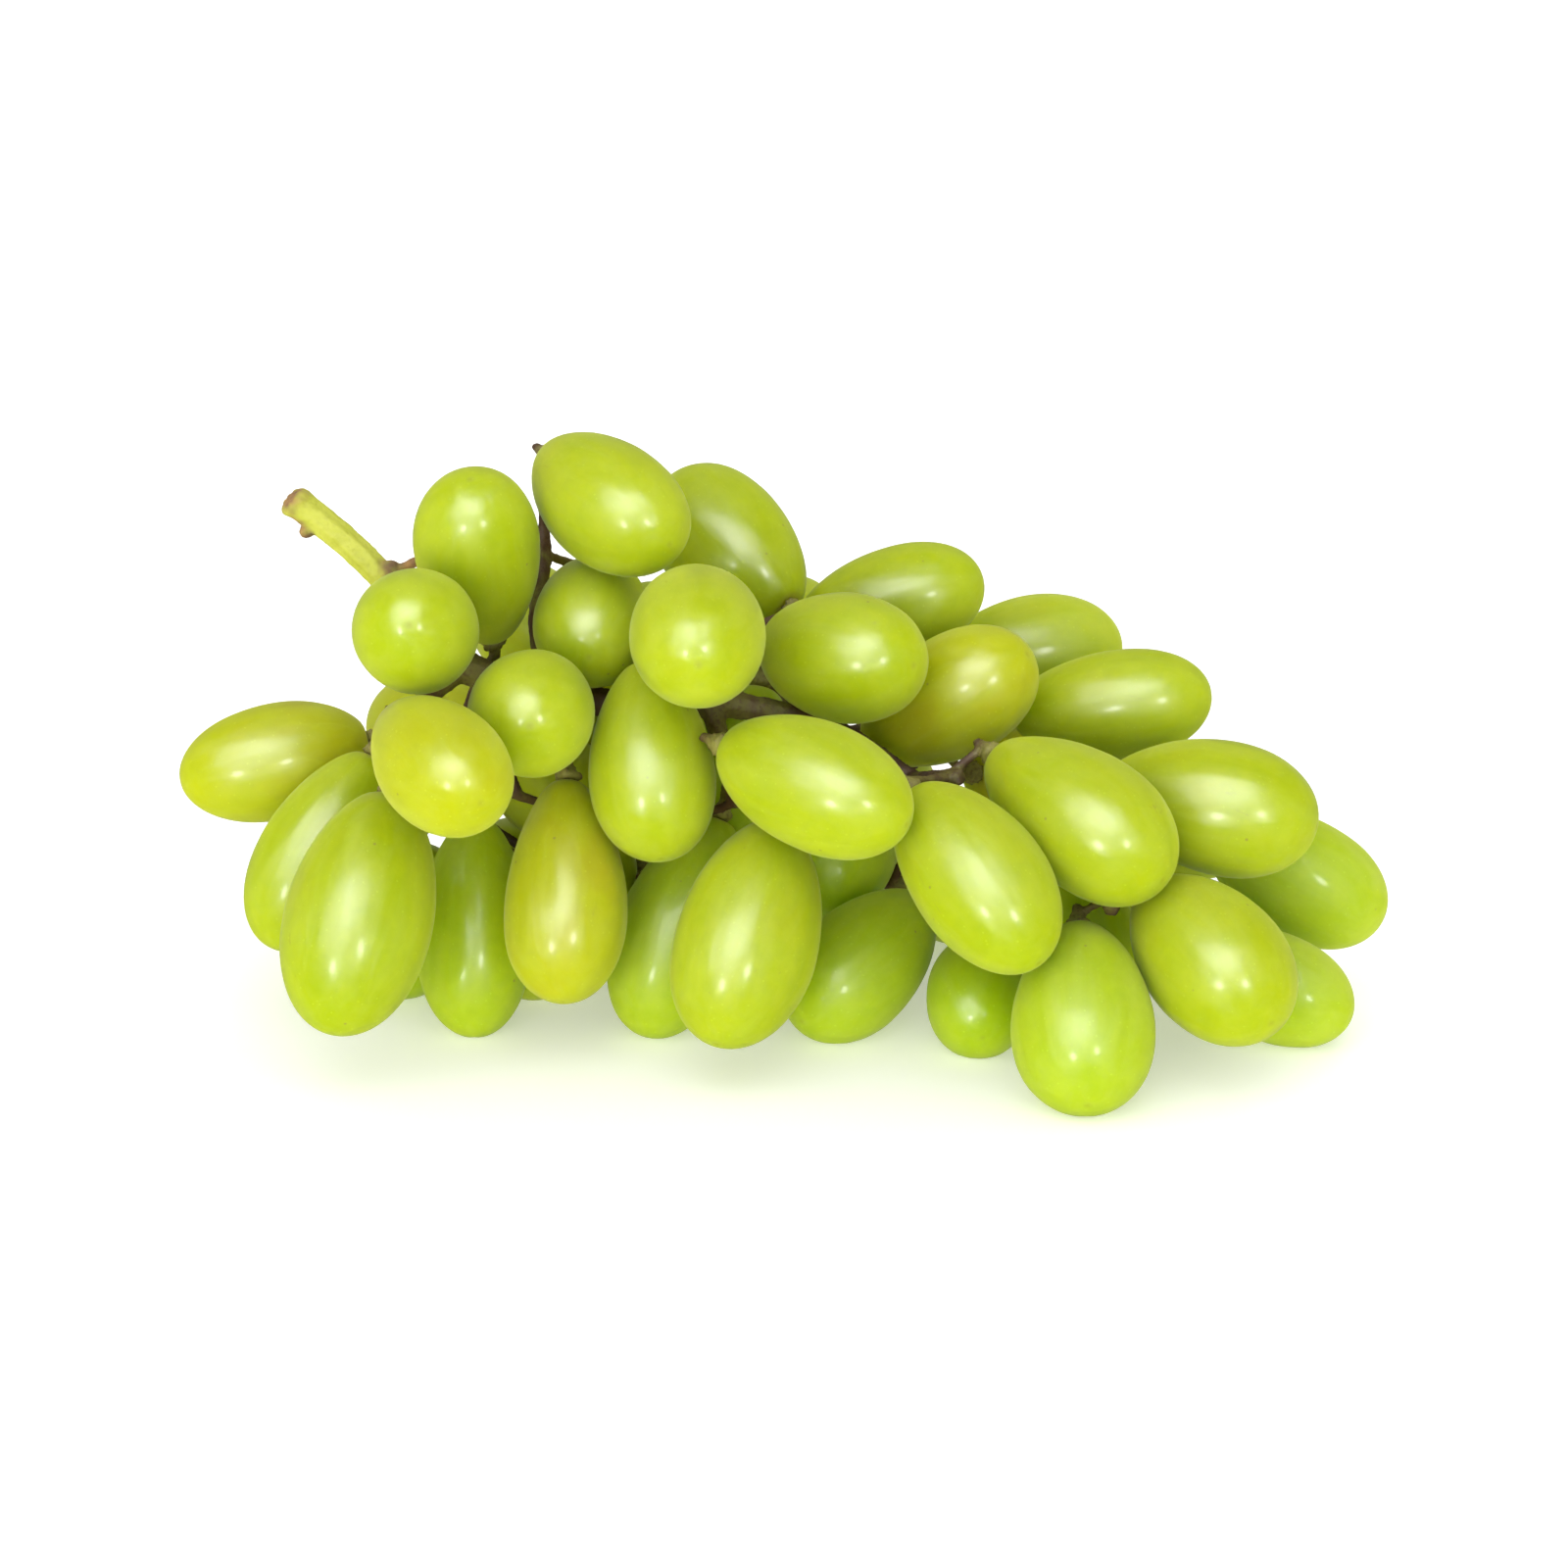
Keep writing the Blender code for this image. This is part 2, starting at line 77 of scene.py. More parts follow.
# lights that only show as reflections in the skins
glints = {
    "softBoxGlint": (-6, 52, 0.8, 0.60, 0.5, 8.5),
    "frontGlint": (-28, 42, 1.2, 1.1, 0.9, 24.0),
    "leftGlint": (-23, 8, 1.0, 0.15, 0.20, 6.5),
    "rightGlint": (18, 17, 1.0, 0.15, 0.20, 6.0),
}


def around(turn, lift, distance):
    # a place seen from the target, turn 0 being the camera's side
    side, up = math.radians(turn), math.radians(lift)
    flat = distance * math.cos(up)
    offset = Vector((flat * math.sin(side), -flat * math.cos(side), distance * math.sin(up)))
    return Vector(studio["target"]) + offset


def aimAt(thing, place):
    thing.location = place
    thing.rotation_euler = (Vector(studio["target"]) - place).to_track_quat("-Z", "Y").to_euler()


def addCamera():
    lens = bpy.data.cameras.new("sceneCamera")
    lens.lens = studio["lens"]
    lens.sensor_width = studio["sensor"]
    lens.clip_start = studio["nearest"]
    eye = bpy.data.objects.new("sceneCamera", lens)
    bpy.context.scene.collection.objects.link(eye)
    aimAt(eye, around(0, studio["lift"], studio["distance"]))
    bpy.context.scene.camera = eye


def addAreaLight(name, sizes, inGloss, inDiffuse):
    turn, lift, distance, width, height, power = sizes
    lamp = bpy.data.lights.new(name, "AREA")
    lamp.shape = "RECTANGLE" if width > studio["roundBelow"] else "ELLIPSE"
    lamp.size, lamp.size_y = width, height
    lamp.energy = power
    holder = bpy.data.objects.new(name, lamp)
    bpy.context.scene.collection.objects.link(holder)
    aimAt(holder, around(turn, lift, distance))
    holder.visible_glossy = inGloss
    holder.visible_diffuse = inDiffuse
    holder.visible_transmission = inDiffuse


def addRoom():
    world = bpy.data.worlds.new("whiteRoom")
    bpy.context.scene.world = world
    world.use_nodes = True
    nodes, links = world.node_tree.nodes, world.node_tree.links
    nodes.clear()
    out = nodes.new("ShaderNodeOutputWorld")
    path = nodes.new("ShaderNodeLightPath")
    glow = nodes.new("ShaderNodeBackground")
    glow.inputs["Strength"].default_value = studio["skyLight"]
    lit = glow.outputs[0]
    for ray, key in (("Is Glossy Ray", "skyGloss"), ("Is Camera Ray", "skySeen")):
        glow = nodes.new("ShaderNodeBackground")
        glow.inputs["Strength"].default_value = studio[key]
        pick = nodes.new("ShaderNodeMixShader")
        links.new(path.outputs[ray], pick.inputs[0])
        links.new(lit, pick.inputs[1])
        links.new(glow.outputs[0], pick.inputs[2])
        lit = pick.outputs[0]
    links.new(lit, out.inputs[0])
    for node in nodes:
        if node.type == "BACKGROUND":
            node.inputs["Color"].default_value = (1, 1, 1, 1)
    scene = bpy.context.scene
    scene.view_settings.view_transform = "Standard"
    scene.view_settings.look = "None"


class NodeDesk:
    # puts nodes on a tree and joins them in one line
    def __init__(self, tree):
        self.tree = tree

    def add(self, kind, settings=None, **inputs):
        node = self.tree.nodes.new("ShaderNode" + kind)
        for key, value in (settings or {}).items():
            setattr(node, key, value)
        for key, value in inputs.items():
            self.feed(node, key.replace("_", " "), value)
        return node

    def feed(self, node, key, value):
        socket = node.inputs[int(key)] if str(key).isdigit() else node.inputs[key]
        if isinstance(value, bpy.types.NodeSocket):
            self.tree.links.new(value, socket)
        else:
            socket.default_value = value

    def math(self, operation, first, second=0.0, third=0.0, clamp=False):
        node = self.tree.nodes.new("ShaderNodeMath")
        node.operation, node.use_clamp = operation, clamp
        for index, value in enumerate((first, second, third)):
            self.feed(node, index, value)
        return node.outputs[0]

    def smooth(self, value, low, high, toLow=0.0, toHigh=1.0):
        # eased step of a value between two levels
        node = self.tree.nodes.new("ShaderNodeMapRange")
        node.interpolation_type = "SMOOTHSTEP"
        for index, item in enumerate((value, low, high, toLow, toHigh)):
            self.feed(node, index, item)
        return node.outputs[0]

    def blend(self, share, first, second, mode="MIX"):
        node = self.tree.nodes.new("ShaderNodeMix")
        node.data_type, node.blend_type = "RGBA", mode
        self.feed(node, 0, share)
        self.feed(node, 6, first)
        self.feed(node, 7, second)
        return node.outputs[2]

    def noise(self, vector, scale, detail=3.0, roughness=0.55, distortion=0.0):
        node = self.tree.nodes.new("ShaderNodeTexNoise")
        self.feed(node, "Vector", vector)
        self.feed(node, "Scale", scale)
        self.feed(node, "Detail", detail)
        self.feed(node, "Roughness", roughness)
        self.feed(node, "Distortion", distortion)
        return node.outputs[0]


def addFloor():
    half = studio["floorSize"] / 2
    mesh = bpy.data.meshes.new("floor")
    corners = [(-half, -half, 0), (half, -half, 0), (half, half, 0), (-half, half, 0)]
    mesh.from_pydata(corners, [], [(0, 1, 2, 3)])
    paint = bpy.data.materials.new("paleFloor")
    paint.use_nodes = True
    shader = paint.node_tree.nodes["Principled BSDF"]
    shade = studio["floorShade"]
    shader.inputs["Base Color"].default_value = (shade, shade, shade, 1)
    shader.inputs["Roughness"].default_value = studio["floorRoughness"]
    shader.inputs["Specular IOR Level"].default_value = studio["floorGloss"]
    desk = NodeDesk(paint.node_tree)
    away = desk.add("VectorMath", {"operation": "LENGTH"})
    desk.feed(away, "0", desk.add("TexCoord").outputs["Object"])
    reach = (studio["glowFrom"], studio["glowTo"])
    glow = desk.smooth(away.outputs["Value"], *reach, studio["nearGlow"], studio["farGlow"])
    far = desk.smooth(away.outputs["Value"], *reach)
    # near the grapes the glow is tinted: painted greenish light in their shadows
    desk.feed(shader, "Emission Color", desk.blend(far, (*studio["shadowGlowTint"], 1), (1, 1, 1, 1)))
    desk.feed(shader, "Emission Strength", glow)
    mesh.materials.append(paint)
    floor = bpy.data.objects.new("floor", mesh)
    bpy.context.scene.collection.objects.link(floor)
    floor.visible_glossy = False


addCamera()
addRoom()
addFloor()
for lampName in ("softBox", "backGlow", "frontFill"):
    addAreaLight(lampName, studio[lampName], False, True)
for lampName, sizes in glints.items():
    addAreaLight(lampName, sizes, True, False)
print("studio: camera, white room, floor,", len(bpy.data.lights), "lights")


def newGroup(name, inputs, outputs):
    tree = bpy.data.node_groups.new(name, "ShaderNodeTree")
    for label, kind, value in inputs:
        socket = tree.interface.new_socket(name=label, in_out="INPUT", socket_type="NodeSocket" + kind)
        if value is not None:
            socket.default_value = value
    for label, kind in outputs:
        tree.interface.new_socket(name=label, in_out="OUTPUT", socket_type="NodeSocket" + kind)
    desk = NodeDesk(tree)
    start = tree.nodes.new("NodeGroupInput")
    end = tree.nodes.new("NodeGroupOutput")
    return desk, start.outputs, end


def useGroup(desk, name, **inputs):
    node = desk.tree.nodes.new("ShaderNodeGroup")
    node.node_tree = bpy.data.node_groups[name]
    for key, value in inputs.items():
        desk.feed(node, key, value)
    return node.outputs


def makeDriftGroup():
    # slow, cloudy change of tone, from 0 to 1
    desk, given, out = newGroup(
        "toneDrift",
        [("Place", "Vector", None), ("Scale", "Float", 120.0), ("Contrast", "Float", 0.5)],
        [("Drift", "Float")],
    )
    cloud = desk.noise(given["Place"], given["Scale"], 4.0, 0.6, 0.6)
    spread = desk.math("MULTIPLY", given["Contrast"], 0.28)
    low = desk.math("SUBTRACT", 0.5, spread)
    high = desk.math("ADD", 0.5, spread)
    desk.feed(out, "Drift", desk.smooth(cloud, low, high))


def makeSpeckGroup():
    # small round pores, a few of them marked
    desk, given, out = newGroup(
        "pores",
        [
            ("Place", "Vector", None),
            ("Scale", "Float", 900.0),
            ("Size", "Float", 0.16),
            ("Share", "Float", 0.4),
        ],
        [("Mask", "Float")],
    )
    cells = desk.add("TexVoronoi", {"feature": "F1"}, Vector=given["Place"], Scale=given["Scale"])
    edge = desk.math("MULTIPLY", given["Size"], 0.4)
    dot = desk.smooth(cells.outputs["Distance"], given["Size"], edge)
    tone = desk.add("SeparateColor", None, Color=cells.outputs["Color"])
    kept = desk.math("LESS_THAN", tone.outputs[0], given["Share"])
    desk.feed(out, "Mask", desk.math("MULTIPLY", dot, kept))


def makeScuffGroup():
    # rare thin scratches and rubbed marks
    desk, given, out = newGroup(
        "scuffs",
        [("Place", "Vector", None), ("Scale", "Float", 160.0), ("Level", "Float", 0.66)],
        [("Mask", "Float")],
    )
    stretch = desk.add("Mapping", {"vector_type": "POINT"}, Vector=given["Place"], Scale=(1.0, 1.0, 0.3))
    wide = desk.noise(stretch.outputs[0], given["Scale"], 2.0, 0.5, 1.5)
    fine = desk.noise(stretch.outputs[0], desk.math("MULTIPLY", given["Scale"], 9.0), 3.0, 0.7, 0.4)
    where = desk.smooth(wide, given["Level"], desk.math("ADD", given["Level"], 0.06))
    grit = desk.smooth(fine, 0.45, 0.62)
    desk.feed(out, "Mask", desk.math("MULTIPLY", where, grit))


makeDriftGroup()
makeSpeckGroup()
makeScuffGroup()
print("effects: tone drift, pores, scuffs")

# flesh is the colour inside, cheek the riper side, shade its darker clouds,
# and blush how much of the brown flush a skin has
skinTones = {
    "lime": {
        "flesh": (0.43, 0.52, 0.003),
        "cheek": (0.50, 0.56, 0.01),
        "shade": (0.31, 0.42, 0.003),
        "blush": 0.08,
    },
    "golden": {
        "flesh": (0.48, 0.53, 0.004),
        "cheek": (0.53, 0.54, 0.008),
        "shade": (0.39, 0.43, 0.003),
        "blush": 0.34,
    },
    "leaf": {
        "flesh": (0.42, 0.56, 0.006),
        "cheek": (0.48, 0.59, 0.01),
        "shade": (0.30, 0.44, 0.004),
        "blush": 0.0,
    },
}

skin = {
    # inside
    "deep": 1.0,                        # share of light that goes through the flesh
    "deepReach": (1.0, 1.1, 0.25),      # how far each colour goes
    "deepScale": 0.008,
    "deepForward": 0.5,
    "clear": 0.12,                      # share of light that passes straight through
    "ior": 1.37,
    # gloss
    "roughness": 0.32,
    "coat": 0.15,
    "coatRoughness": 0.17,
    "sheen": 0.12,                      # dusty film, seen along the skin
    "sheenRoughness": 0.35,
    "sheenTint": (0.92, 1.0, 0.72),
    # clouds of colour
    "driftScale": 95.0,
    "fineScale": 520.0,
    "cheekShare": 0.5,
    "shadeShare": 0.34,
    "blushScale": 60.0,
    "blushColour": (0.42, 0.29, 0.02),
    # veins under the skin, from the stalk towards the far end
    "veinCount": 11.0,
    "veinWander": 9.0,
    "veinWidth": 0.72,                  # nearer 1 is thinner
    "veinShare": 0.12,
    # pale pores, brown ones, scratches
    "paleScale": 1050.0,
    "paleShare": 0.5,
    "brownScale": 330.0,
    "brownShare": 0.6,
    "rubScale": 150.0,
    "rubShare": 0.35,
    "corkColour": (0.24, 0.17, 0.05),
    # the waxy film, stretched along the berry
    "bloom": (0.62, 0.70, 0.20),
    "bloomScale": 300.0,
    "bloomShare": 0.15,
    "bloomStretch": 0.22,
    "waxyExtra": 0.05,                  # more of it on a waxy berry
    "waxyRoughness": 0.22,
    # both ends
    "collarColour": (0.45, 0.38, 0.07),
    "collarShare": 0.75,
    "scarShare": 0.22,
    # relief
    "grainScale": 2600.0,
    "grainDepth": 0.10,
    "foldScale": 260.0,                 # shallow folds that break up the highlights
    "foldDepth": 0.5,
}


def skinMark(desk, label):
    return desk.add("Attribute", {"attribute_name": label}).outputs["Fac"]


def veinMask(desk, place):
    parts = desk.add("SeparateXYZ", None, Vector=place).outputs
    turn = desk.math("ARCTAN2", parts[1], parts[0])
    wander = desk.math("MULTIPLY", desk.noise(place, 260.0, 2.0, 0.5), skin["veinWander"])
    streak = desk.math("SINE", desk.math("MULTIPLY_ADD", turn, skin["veinCount"], wander))
    vein = desk.smooth(streak, skin["veinWidth"], 1.0)
    fade = desk.smooth(skinMark(desk, "alongBerry"), 0.95, 0.1)
    return desk.math("MULTIPLY", vein, desk.math("MULTIPLY", fade, skin["veinShare"]))


def fleshColour(desk, place, tone, fineDrift):
    drift = useGroup(desk, "toneDrift", Place=place, Scale=skin["driftScale"], Contrast=0.9)["Drift"]
    ripe = desk.math("MULTIPLY_ADD", drift, skin["cheekShare"], skinMark(desk, "ripeness"), clamp=True)
    colour = desk.blend(ripe, (*tone["flesh"], 1), (*tone["cheek"], 1))
    patch = desk.smooth(desk.noise(place, skin["blushScale"], 3.0, 0.5, 0.4), 0.50, 0.68)
    patch = desk.math("MULTIPLY", patch, tone["blush"])
    colour = desk.blend(patch, colour, (*skin["blushColour"], 1))
    shade = desk.math("MULTIPLY", fineDrift, skin["shadeShare"])
    return desk.blend(shade, colour, (*tone["shade"], 1))


def makeSkin(name, tone):
    material = bpy.data.materials.new(name)
    material.use_nodes = True
    desk = NodeDesk(material.node_tree)
    shader = material.node_tree.nodes["Principled BSDF"]
    place = desk.add("TexCoord").outputs["Object"]
    cork = (*skin["corkColour"], 1)
    paleTone = (*(part * 1.2 + 0.03 for part in tone["flesh"]), 1)
    film = skinMark(desk, "waxFilm")
    scar = skinMark(desk, "farScar")

    fineDrift = useGroup(desk, "toneDrift", Place=place, Scale=skin["fineScale"], Contrast=1.3)["Drift"]
    colour = fleshColour(desk, place, tone, fineDrift)
    colour = desk.blend(veinMask(desk, place), colour, paleTone)
    pale = useGroup(desk, "pores", Place=place, Scale=skin["paleScale"], Size=0.2, Share=0.55)["Mask"]
    colour = desk.blend(desk.math("MULTIPLY", pale, skin["paleShare"]), colour, paleTone)
    brown = useGroup(desk, "pores", Place=place, Scale=skin["brownScale"], Size=0.09, Share=0.16)["Mask"]
    colour = desk.blend(desk.math("MULTIPLY", brown, skin["brownShare"]), colour, cork)
    rub = useGroup(desk, "scuffs", Place=place, Scale=skin["rubScale"], Level=0.66)["Mask"]
    colour = desk.blend(desk.math("MULTIPLY", rub, skin["rubShare"]), colour, cork)

    # the waxy film lies in soft pale streaks
    stretch = (1.0, 1.0, skin["bloomStretch"])
    lengthwise = desk.add("Mapping", {"vector_type": "POINT"}, Vector=place, Scale=stretch).outputs[0]
    wax = useGroup(desk, "toneDrift", Place=lengthwise, Scale=skin["bloomScale"], Contrast=0.8)["Drift"]
    wax = desk.math("MULTIPLY", wax, desk.math("MULTIPLY_ADD", film, skin["waxyExtra"], skin["bloomShare"]))
    colour = desk.blend(wax, colour, (*skin["bloom"], 1))

    # ring at the stalk, and the dry scar at the far end
    ring = desk.math("MULTIPLY", skinMark(desk, "stalkMark"), skin["collarShare"])
    colour = desk.blend(ring, colour, (*skin["collarColour"], 1))
    colour = desk.blend(desk.math("MULTIPLY", scar, skin["scarShare"]), colour, cork)

    rough = desk.math("MULTIPLY_ADD", wax, 0.9, skin["roughness"])
    rough = desk.math("MULTIPLY_ADD", film, skin["waxyRoughness"], rough)
    rough = desk.math("MULTIPLY_ADD", rub, 0.25, rough)
    rough = desk.math("MULTIPLY_ADD", scar, 0.3, rough)

    grain = desk.math("MULTIPLY", desk.noise(place, skin["grainScale"], 2.0, 0.6), 0.22)
    height = desk.math("MULTIPLY_ADD", pale, -0.25, grain)
    height = desk.math("MULTIPLY_ADD", fineDrift, 0.5, height)
    fine = desk.add("Bump", None, Strength=skin["grainDepth"], Distance=0.2 * mm, Height=height)
    folds = desk.noise(lengthwise, skin["foldScale"], 1.0, 0.3, 0.3)
    bump = desk.add("Bump", None, Strength=skin["foldDepth"], Distance=mm, Height=folds)
    desk.feed(bump, "Normal", fine.outputs[0])

    desk.feed(shader, "Base Color", colour)
    desk.feed(shader, "Roughness", rough)
    desk.feed(shader, "Normal", bump.outputs[0])
    shader.inputs["Subsurface Weight"].default_value = skin["deep"]
    shader.inputs["Subsurface Radius"].default_value = skin["deepReach"]
    shader.inputs["Subsurface Scale"].default_value = skin["deepScale"]
    shader.inputs["Subsurface Anisotropy"].default_value = skin["deepForward"]
    shader.inputs["IOR"].default_value = skin["ior"]
    shader.inputs["Transmission Weight"].default_value = skin["clear"]
    shader.inputs["Sheen Weight"].default_value = skin["sheen"]
    shader.inputs["Sheen Roughness"].default_value = skin["sheenRoughness"]
    shader.inputs["Sheen Tint"].default_value = (*skin["sheenTint"], 1)
    shader.inputs["Coat Weight"].default_value = skin["coat"]
    shader.inputs["Coat Roughness"].default_value = skin["coatRoughness"]
    return material


skins = {name: makeSkin(name + "Skin", tone) for name, tone in skinTones.items()}
print("grape skin:", ", ".join(skins))

berryShape = {
    "sides": 56,
    "rings": 44,
    "fuller": 0.14,          # how much fuller the far end is
    "fullerSpread": 0.04,    # and how much that differs between berries
    "ringShare": 0.9955,     # widest ring of the frame's berry, as a share of its girth
    "grow": 0.1 * mm,        # the skin is this much outside the frame's berry
    "dimple": 0.55 * mm,     # hollow round the stalk
    "dimpleWidth": 1.5 * mm,
    "rim": 0.16 * mm,        # raised ring round that hollow
    "rimAt": 1.9,            # its radius, in widths of the hollow
    "stalkRing": 1.3 * mm,   # tanned skin round the stalk
    "farDimple": 0.07 * mm,
    "farWidth": 0.40 * mm,
    "lump": 0.018,           # uneven roundness, as a share of the girth
    "lobes": 3,              # slight lengthwise sides
    "bend": 0.03,            # most a berry's middle is off its axis, as a share of its half length
    "ripest": 0.55,
    "firstSeed": 100,
}

# berries with a fuller far end, or ends more alike, than the rest, by the node's number
ownEnds = {1: 0.0, 3: 0.09, 6: 0.24, 12: 0.22, 13: 0.06, 14: 0.09, 20: 0.20, 21: 0.07, 30: 0.24}
goldenBerries = {1, 4, 16, 30, 43, 47}
leafBerries = {22, 24, 25, 26, 27, 29, 31, 32, 33, 34, 35, 45, 52}

# berries that keep more of their wax, from 0 to 1
waxyBerries = {17: 0.8, 22: 1.0, 24: 1.0, 25: 0.4, 27: 0.4, 29: 0.5}


def clamped(value):
    return max(0.0, min(1.0, value))


def hump(value, width):
    # 1 at zero, fading on both sides
    return math.exp(-((value / width) ** 2))


def addMark(mesh, label, values):
    layer = mesh.attributes.new(label, "FLOAT", "POINT")
    layer.data.foreach_set("value", values)


def treeOf(points):
    tree = KDTree(len(points))
    for index, point in enumerate(points):
        tree.insert(point, index)
    tree.balance()
    return tree


def readBerry(node, stalks):
    # the long axis, from the stalk end to the far end, and the half girth
    points = np.array([v.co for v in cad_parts[node].data.vertices])
    apart = np.linalg.norm(points[:, None] - points[None], axis=2)
    first, second = np.unravel_index(apart.argmax(), apart.shape)
    ends = [Vector(points[first]), Vector(points[second])]
    ends.sort(key=lambda end: stalks.find(end)[2])
    stalkEnd, farEnd = ends
    axis = (farEnd - stalkEnd).normalized()
    away = points - np.array(stalkEnd)
    across = away - np.outer(away @ np.array(axis), np.array(axis))
    girth = np.linalg.norm(across, axis=1).max() / berryShape["ringShare"]
    return {
        "centre": (stalkEnd + farEnd) / 2,
        "axis": axis,
        "halfLength": (farEnd - stalkEnd).length / 2 + berryShape["grow"],
        "halfGirth": float(girth) + berryShape["grow"],
    }


def berryProfile(t, fuller):
    return math.sqrt(max(0.0, 1 - t * t)) * (1 + fuller * t) / (1 + fuller ** 2 / 2)


def buildBerry(name, berry, seed):
    chance = random.Random(seed)
    number = int(name[-2:])
    spread = berryShape["fullerSpread"]
    usual = berryShape["fuller"] + chance.uniform(-spread, spread)
    fuller = ownEnds.get(number, usual)
    bendTurn = chance.uniform(0, 2 * math.pi)
    bend = berryShape["bend"] * chance.uniform(0.2, 1.0) * berry["halfLength"]
    lobeTurn = chance.uniform(0, 2 * math.pi)
    shift = Vector((chance.uniform(-50, 50), chance.uniform(-50, 50), chance.uniform(-50, 50)))
    length, girth = berry["halfLength"], berry["halfGirth"]
    sides, rings = berryShape["sides"], berryShape["rings"]
    width = berryShape["dimpleWidth"]
    places, marks = [], []

    def skinPoint(t, spin):
        radius = girth * berryProfile(t, fuller)
        ray = Vector((math.cos(spin), math.sin(spin), 0))
        domeWidth = math.sqrt(max(0, 1 - t * t))
        dome = Vector((ray.x * domeWidth, ray.y * domeWidth, t))
        lump = noise.noise(dome * 1.1 + shift) + 0.4 * noise.noise(dome * 2.6 + shift)
        lobes = 0.5 * math.cos(berryShape["lobes"] * (spin + lobeTurn)) * (1 - t * t)
        radius *= 1 + berryShape["lump"] * (lump + lobes * 0.5)
        along = length * t
        hollow = hump(radius, width)
        rim = hump(radius - berryShape["rimAt"] * width, width)
        if t < 0:
            along += berryShape["dimple"] * hollow - berryShape["rim"] * rim
        else:
            along -= berryShape["farDimple"] * hump(radius, berryShape["farWidth"])
        sway = bend * (1 - t * t)
        point = ray * radius + Vector((math.cos(bendTurn) * sway, math.sin(bendTurn) * sway, along))
        scarSize = berryShape["farWidth"] * (0.55 + 0.25 * noise.noise(dome * 9 + shift))
        scar = clamped(1.6 - radius / scarSize) if t > 0 else 0.0
        mark = clamped(1.9 - radius / berryShape["stalkRing"]) if t < 0 else 0.0
        return point, ((t + 1) / 2, scar, mark)

    for ring in range(1, rings):
        t = -math.cos(math.pi * ring / rings)
        for side in range(sides):
            point, mark = skinPoint(t, 2 * math.pi * side / sides)
            places.append(point)
            marks.append(mark)
    for t in (-1, 1):
        point, mark = skinPoint(t, 0)
        places.append(point)
        marks.append(mark)
    faces = []
    stalkPole, farPole = len(places) - 2, len(places) - 1
    lastRing = (rings - 2) * sides
    for side in range(sides):
        after = (side + 1) % sides
        faces.append((stalkPole, after, side))
        faces.append((farPole, lastRing + side, lastRing + after))
        for ring in range(rings - 2):
            low, high = ring * sides, (ring + 1) * sides
            faces.append((low + side, low + after, high + after, high + side))
    mesh = bpy.data.meshes.new(name)
    frameTurn = berry["axis"].to_track_quat("Z", "Y").to_matrix().to_4x4()
    spin = Matrix.Rotation(chance.uniform(0, 2 * math.pi), 4, "Z")
    placing = Matrix.Translation(berry["centre"]) @ frameTurn @ spin
    mesh.from_pydata(pressedFlat(places, placing), [], faces)
    mesh.shade_smooth()
    ripe = chance.uniform(0.0, berryShape["ripest"])
    for column, label in enumerate(("alongBerry", "farScar", "stalkMark")):
        addMark(mesh, label, [mark[column] for mark in marks])
    addMark(mesh, "ripeness", [ripe] * len(places))
    addMark(mesh, "waxFilm", [waxyBerries.get(number, 0.0)] * len(places))
    piece = bpy.data.objects.new(name.replace("berry_", "grape"), mesh)
    bpy.context.scene.collection.objects.link(piece)
    piece.matrix_world = placing
    return piece


def pressedFlat(places, placing):
    # skin below the floor is pushed up to it
    back = placing.inverted()
    settled = []
    for place in places:
        world = placing @ place
        if world.z < 0:
            world.z = 0
            place = back @ world
        settled.append(place)
    return settled


def skinOf(node):
    number = int(node[-2:])
    if number in goldenBerries:
        return skins["golden"]
    return skins["leaf"] if number in leafBerries else skins["lime"]


stalks = treeOf([v.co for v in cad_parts["stem"].data.vertices])
berries = {}
for node in sorted(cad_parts):
    if node.startswith("berry_"):
        berries[node] = readBerry(node, stalks)
for index, (node, berry) in enumerate(berries.items()):
    piece = buildBerry(node, berry, berryShape["firstSeed"] + index)
    piece.data.materials.append(skinOf(node))
    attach(piece, "root")
    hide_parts(node)
print("berries:", len(berries))

stemShape = {
    "voxel": 0.2 * mm,
    "plump": 0.12 * mm,        # made up before smoothing thins it
    "smoothing": 8,
    "collarSides": 16,
    # distance from the berry and radius, along a stalk's swollen end, in mm
    "collar": (
        (3.4, 0.60),
        (2.4, 0.68),
        (1.6, 0.86),
        (1.0, 1.18),
        (0.65, 1.52),
        (0.25, 1.66),
        (-0.05, 1.5),
        (-0.4, 1.1),
    ),
    "collarLobes": 0.10,       # a swollen end isn't quite round
    "collarFrom": 2.8,         # its colour begins this far from the berry, in mm
    "collarFade": 1.6,
    "wart": 0.48,              # warts: height in mm, how close, and the level they rise from
    "wartScale": 2.4,
    "wartFrom": 0.12,
}

# the cut end and the marks of shed parts on the peduncle, by distance from the cut, in mm
peduncle = {
    "lean": (1, 0, -0.8),      # roughly the way it runs
    "tip": (5, 8),             # the cut end is this close to the stem's left and top
    "length": 19.0,
    "slice": 1.0,
    "sliceHalf": 0.9,
    "widest": 4,
    "evening": 6,              # rounds that even out its middle line
    "reach": 3.6,              # its colour ends this far from the middle line
    "reachFade": 0.8,
    "ridges": 0.07,
    "ridgeCount": 9,
    # distance and radius: the cut end is a little wider than the rest
    "cutEnd": ((-0.1, 1.6), (0.1, 1.85), (0.6, 2.15), (1.4, 1.95), (2.6, 1.6)),
    "bumpAt": 3.4,
    "bumpSize": 0.95,
    "knuckleAt": 14.6,         # where a side part was shed
    "knuckleSize": 1.5,
    "knuckleSide": (0.90, -0.15, 0.42),
    "stubLength": 4.2,
    "stubRadius": 0.5,
    "stubRings": 8,
    "scarSize": 0.85,
    "scarSide": (0.15, -0.55, 0.8),
}


